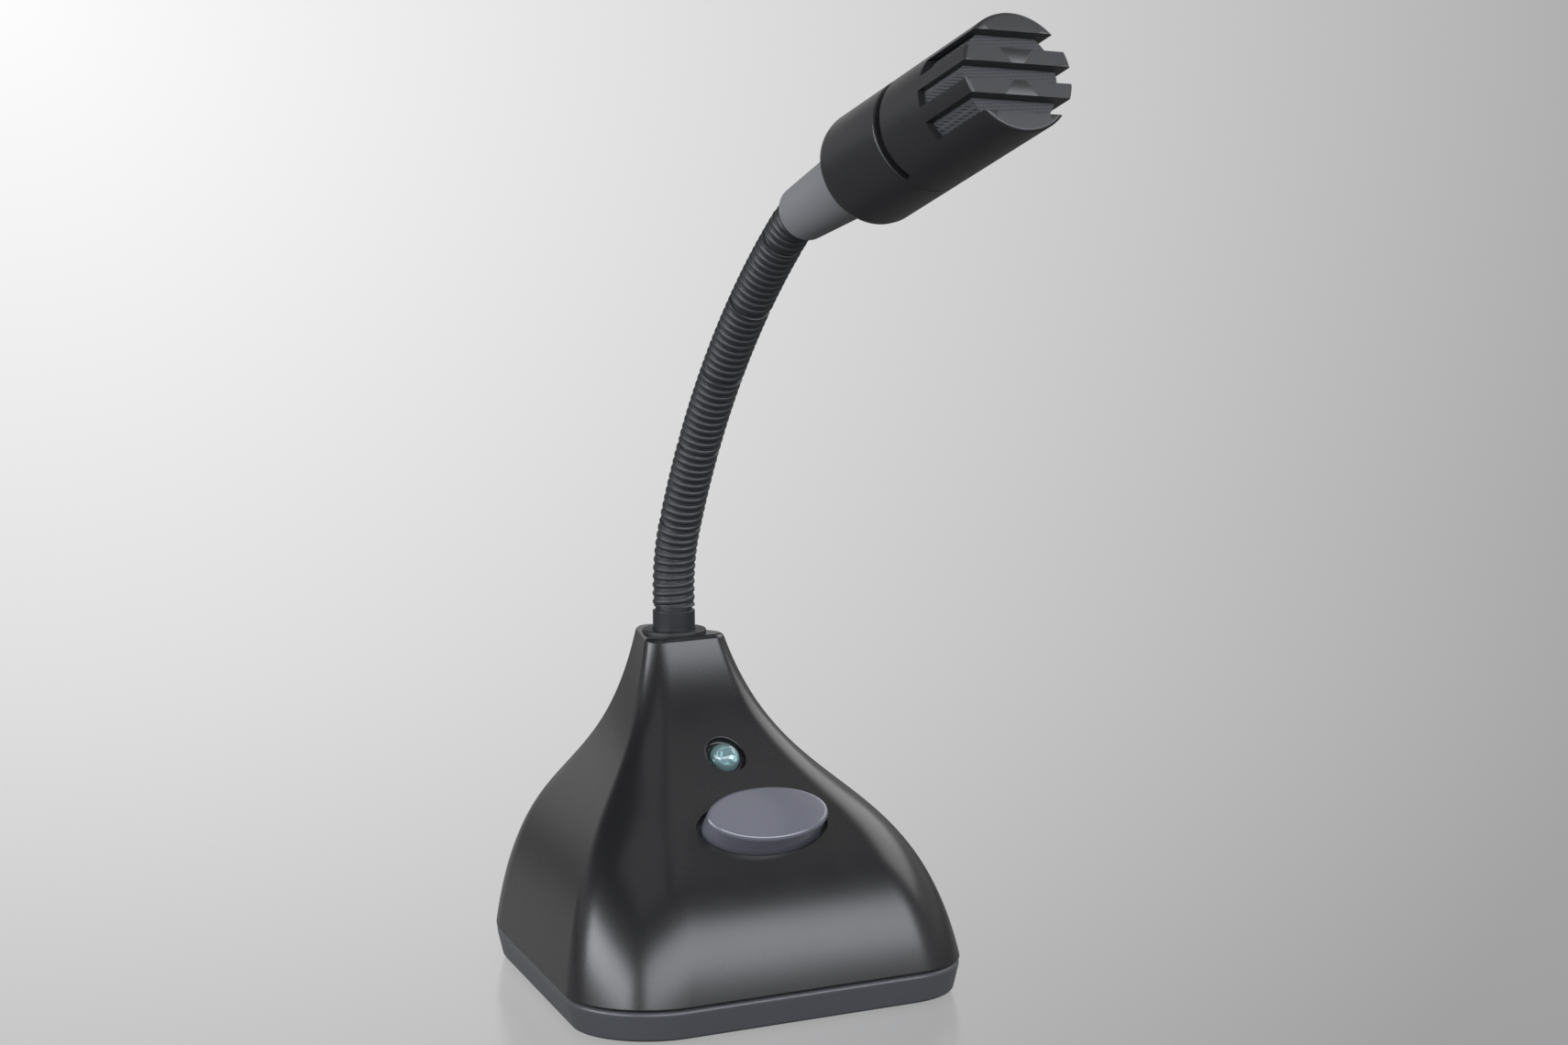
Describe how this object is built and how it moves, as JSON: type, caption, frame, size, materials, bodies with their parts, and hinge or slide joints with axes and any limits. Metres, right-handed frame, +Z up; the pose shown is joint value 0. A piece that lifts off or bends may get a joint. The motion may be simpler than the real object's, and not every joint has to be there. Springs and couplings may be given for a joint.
{
  "type": "gooseneck desk microphone",
  "caption": "Desk microphone: weighted three-sided bell base with push button and light, bending gooseneck and slotted head.",
  "frame": {"origin": "on the resting plane, under the axis on which the neck leaves the base", "axes": "+Z up, -Y to the front, where the button and light are, +X to the right as seen from the front"},
  "size_m": [0.076, 0.1571, 0.1743],
  "materials": {
    "shell_plastic": "charcoal, satin to semi-gloss moulded",
    "tray_plastic": "charcoal, satin moulded",
    "button_plastic": "blue-grey, satin moulded",
    "cap_plastic": "charcoal, satin moulded",
    "barrel_plastic": "charcoal, satin moulded",
    "cone_plastic": "mid grey, matt moulded",
    "foot_rubber": "black rubber",
    "boot_rubber": "black rubber",
    "ballast_iron": "blanked plate, oiled",
    "screw_steel": "zinc-plated steel",
    "neck_steel": "black-coated coiled steel",
    "nut_brass": "nickel-plated brass",
    "board_laminate": "glass-epoxy board",
    "part_plastic": "black moulded",
    "connector_plastic": "ivory nylon",
    "led_lens": "clear teal epoxy",
    "wire_sleeve": "vinyl-covered wire",
    "pad_foam": "double-sided foam sheet",
    "screen_mesh": "fine black mesh cloth",
    "capsule_metal": "drawn aluminium can"
  },
  "bodies": {
    "base": {"amplifier_chip": "part_plastic", "ballast_pad": "pad_foam", "ballast_plate": "ballast_iron", "base_tray": "tray_plastic", "board_screws": "screw_steel", "case_screws": "screw_steel", "control_board": "board_laminate", "indicator_led": "led_lens", "jack_connector": "connector_plastic", "jack_nut": "nut_brass", "jack_socket": "part_plastic", "jack_wire": "wire_sleeve", "led_holder": "part_plastic", "left_foot": "foot_rubber", "mic_connector": "connector_plastic", "mic_wire": "wire_sleeve", "neck_collar": "part_plastic", "neck_ferrule": "neck_steel", "neck_nut": "nut_brass", "neck_washer": "screw_steel", "rear_foot": "foot_rubber", "right_foot": "foot_rubber", "switch_body": "part_plastic", "upper_shell": "shell_plastic"},
    "button": {"push_button": "button_plastic", "switch_plunger": "part_plastic"},
    "neck_01": {"neck_section_01": "neck_steel"},
    "neck_02": {"neck_section_02": "neck_steel"},
    "neck_03": {"neck_section_03": "neck_steel"},
    "neck_04": {"neck_section_04": "neck_steel"},
    "neck_05": {"neck_section_05": "neck_steel"},
    "neck_06": {"neck_section_06": "neck_steel"},
    "neck_07": {"neck_section_07": "neck_steel"},
    "neck_08": {"neck_section_08": "neck_steel"},
    "neck_09": {"neck_section_09": "neck_steel"},
    "neck_10": {"neck_section_10": "neck_steel"},
    "head": {"neck_section_11": "neck_steel", "head_ferrule": "cone_plastic", "head_barrel": "barrel_plastic", "head_nut": "nut_brass", "grille_cap": "cap_plastic", "screen_cup": "screen_mesh", "foam_disc": "pad_foam", "capsule_boot": "boot_rubber", "mic_capsule": "capsule_metal", "head_board": "board_laminate", "head_wire": "wire_sleeve"}
  },
  "joints": [
    {"name": "button_press", "type": "slide", "parent": "base", "child": "button", "axis": [0, 0.6389, -0.7693], "range_m": [0, 0.0015], "stiffness_N_per_m": 400, "springref_m": -0.001},
    {"name": "neck_bend_1", "type": "hinge", "parent": "base", "child": "neck_01", "pos_m": [0, 0, 0.0671], "axis": [1, 0, 0], "range_deg": [-11, 7]},
    {"name": "neck_sway_1", "type": "hinge", "parent": "neck_01", "child": "neck_02", "pos_m": [0, -0.00041, 0.07519], "axis": [0, 0.9865, 0.1637], "range_deg": [-10, 10]},
    {"name": "neck_bend_2", "type": "hinge", "parent": "neck_02", "child": "neck_03", "pos_m": [0, -0.00277, 0.08294], "axis": [1, 0, 0], "range_deg": [-11, 7]},
    {"name": "neck_sway_2", "type": "hinge", "parent": "neck_03", "child": "neck_04", "pos_m": [0, -0.00611, 0.09033], "axis": [0, 0.8997, 0.4365], "range_deg": [-10, 10]},
    {"name": "neck_bend_3", "type": "hinge", "parent": "neck_04", "child": "neck_05", "pos_m": [0, -0.00985, 0.09754], "axis": [1, 0, 0], "range_deg": [-11, 7]},
    {"name": "neck_sway_3", "type": "hinge", "parent": "neck_05", "child": "neck_06", "pos_m": [0, -0.01397, 0.10453], "axis": [0, 0.8473, 0.5312], "range_deg": [-10, 10]},
    {"name": "neck_bend_4", "type": "hinge", "parent": "neck_06", "child": "neck_07", "pos_m": [0, -0.01847, 0.11128], "axis": [1, 0, 0], "range_deg": [-11, 7]},
    {"name": "neck_sway_4", "type": "hinge", "parent": "neck_07", "child": "neck_08", "pos_m": [0, -0.02332, 0.11779], "axis": [0, 0.785, 0.6196], "range_deg": [-10, 10]},
    {"name": "neck_bend_5", "type": "hinge", "parent": "neck_08", "child": "neck_09", "pos_m": [0, -0.02852, 0.12402], "axis": [1, 0, 0], "range_deg": [-11, 7]},
    {"name": "neck_sway_5", "type": "hinge", "parent": "neck_09", "child": "neck_10", "pos_m": [0, -0.03405, 0.12996], "axis": [0, 0.7134, 0.7007], "range_deg": [-10, 10]},
    {"name": "neck_bend_6", "type": "hinge", "parent": "neck_10", "child": "head", "pos_m": [0, -0.03989, 0.1356], "axis": [1, 0, 0], "range_deg": [-11, 7]}
  ],
  "couplings": [
    {"joint": "neck_bend_2", "follows": "neck_bend_1", "ratio": 1},
    {"joint": "neck_sway_2", "follows": "neck_sway_1", "ratio": 1},
    {"joint": "neck_bend_3", "follows": "neck_bend_1", "ratio": 1},
    {"joint": "neck_sway_3", "follows": "neck_sway_1", "ratio": 1},
    {"joint": "neck_bend_4", "follows": "neck_bend_1", "ratio": 1},
    {"joint": "neck_sway_4", "follows": "neck_sway_1", "ratio": 1},
    {"joint": "neck_bend_5", "follows": "neck_bend_1", "ratio": 1},
    {"joint": "neck_sway_5", "follows": "neck_sway_1", "ratio": 1},
    {"joint": "neck_bend_6", "follows": "neck_bend_1", "ratio": 1}
  ]
}
